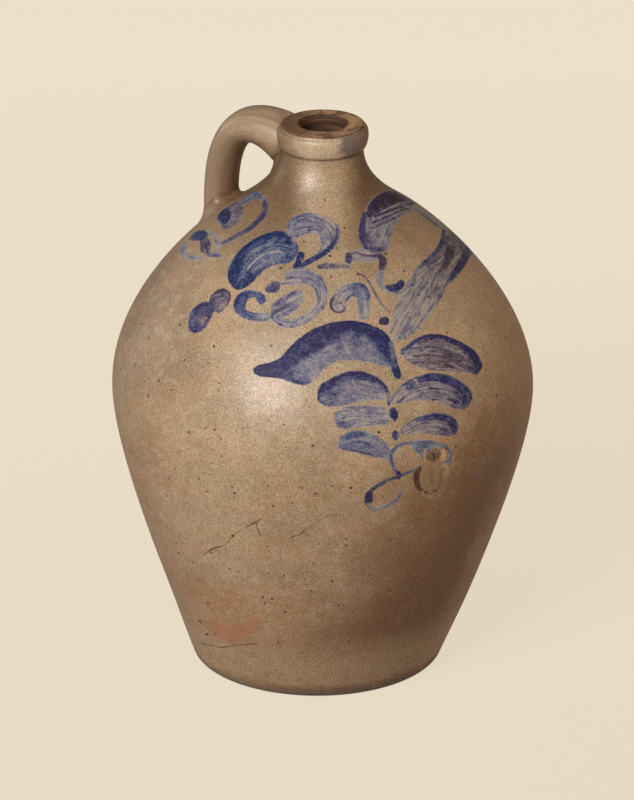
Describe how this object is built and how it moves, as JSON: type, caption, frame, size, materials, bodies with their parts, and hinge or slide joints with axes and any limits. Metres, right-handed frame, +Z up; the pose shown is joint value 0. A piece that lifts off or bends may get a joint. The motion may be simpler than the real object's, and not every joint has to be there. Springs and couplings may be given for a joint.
{
  "type": "jug",
  "caption": "Ovoid salt-glazed stoneware jug with a rolled mouth collar, a pulled loop handle at the neck and a brushed cobalt floral spray.",
  "frame": {"origin": "centre of the foot, on the ground plane", "axes": "+Z up along the jug's axis, out of the mouth; the handle lies towards -X"},
  "size_m": [0.28, 0.28, 0.3784],
  "materials": {
    "stoneware": "salt-glazed tan stoneware, fine orange-peel speckle, satin sheen",
    "inner_clay": "unglazed brown clay of the inside",
    "cobalt_slip": "brushed cobalt-blue slip under the salt glaze, streaked and pooled"
  },
  "bodies": {
    "root": {"lower_body": "stoneware", "upper_body": "stoneware", "waist_coil": "inner_clay", "mouth_collar": "stoneware", "handle": "stoneware", "lower_handle_wad": "stoneware", "upper_handle_wad": "stoneware", "cobalt_top_loop": "cobalt_slip", "cobalt_small_ring": "cobalt_slip", "cobalt_bud": "cobalt_slip", "cobalt_high_petal": "cobalt_slip", "cobalt_dark_petal": "cobalt_slip", "cobalt_low_petal": "cobalt_slip", "cobalt_curl": "cobalt_slip", "cobalt_tendrils": "cobalt_slip", "cobalt_ribbon": "cobalt_slip", "cobalt_big_leaf": "cobalt_slip", "cobalt_left_leaves": "cobalt_slip", "cobalt_right_leaves": "cobalt_slip", "cobalt_stem_drops": "cobalt_slip", "cobalt_outline_leaf": "cobalt_slip", "cobalt_tail_loop": "cobalt_slip"}
  },
  "joints": []
}
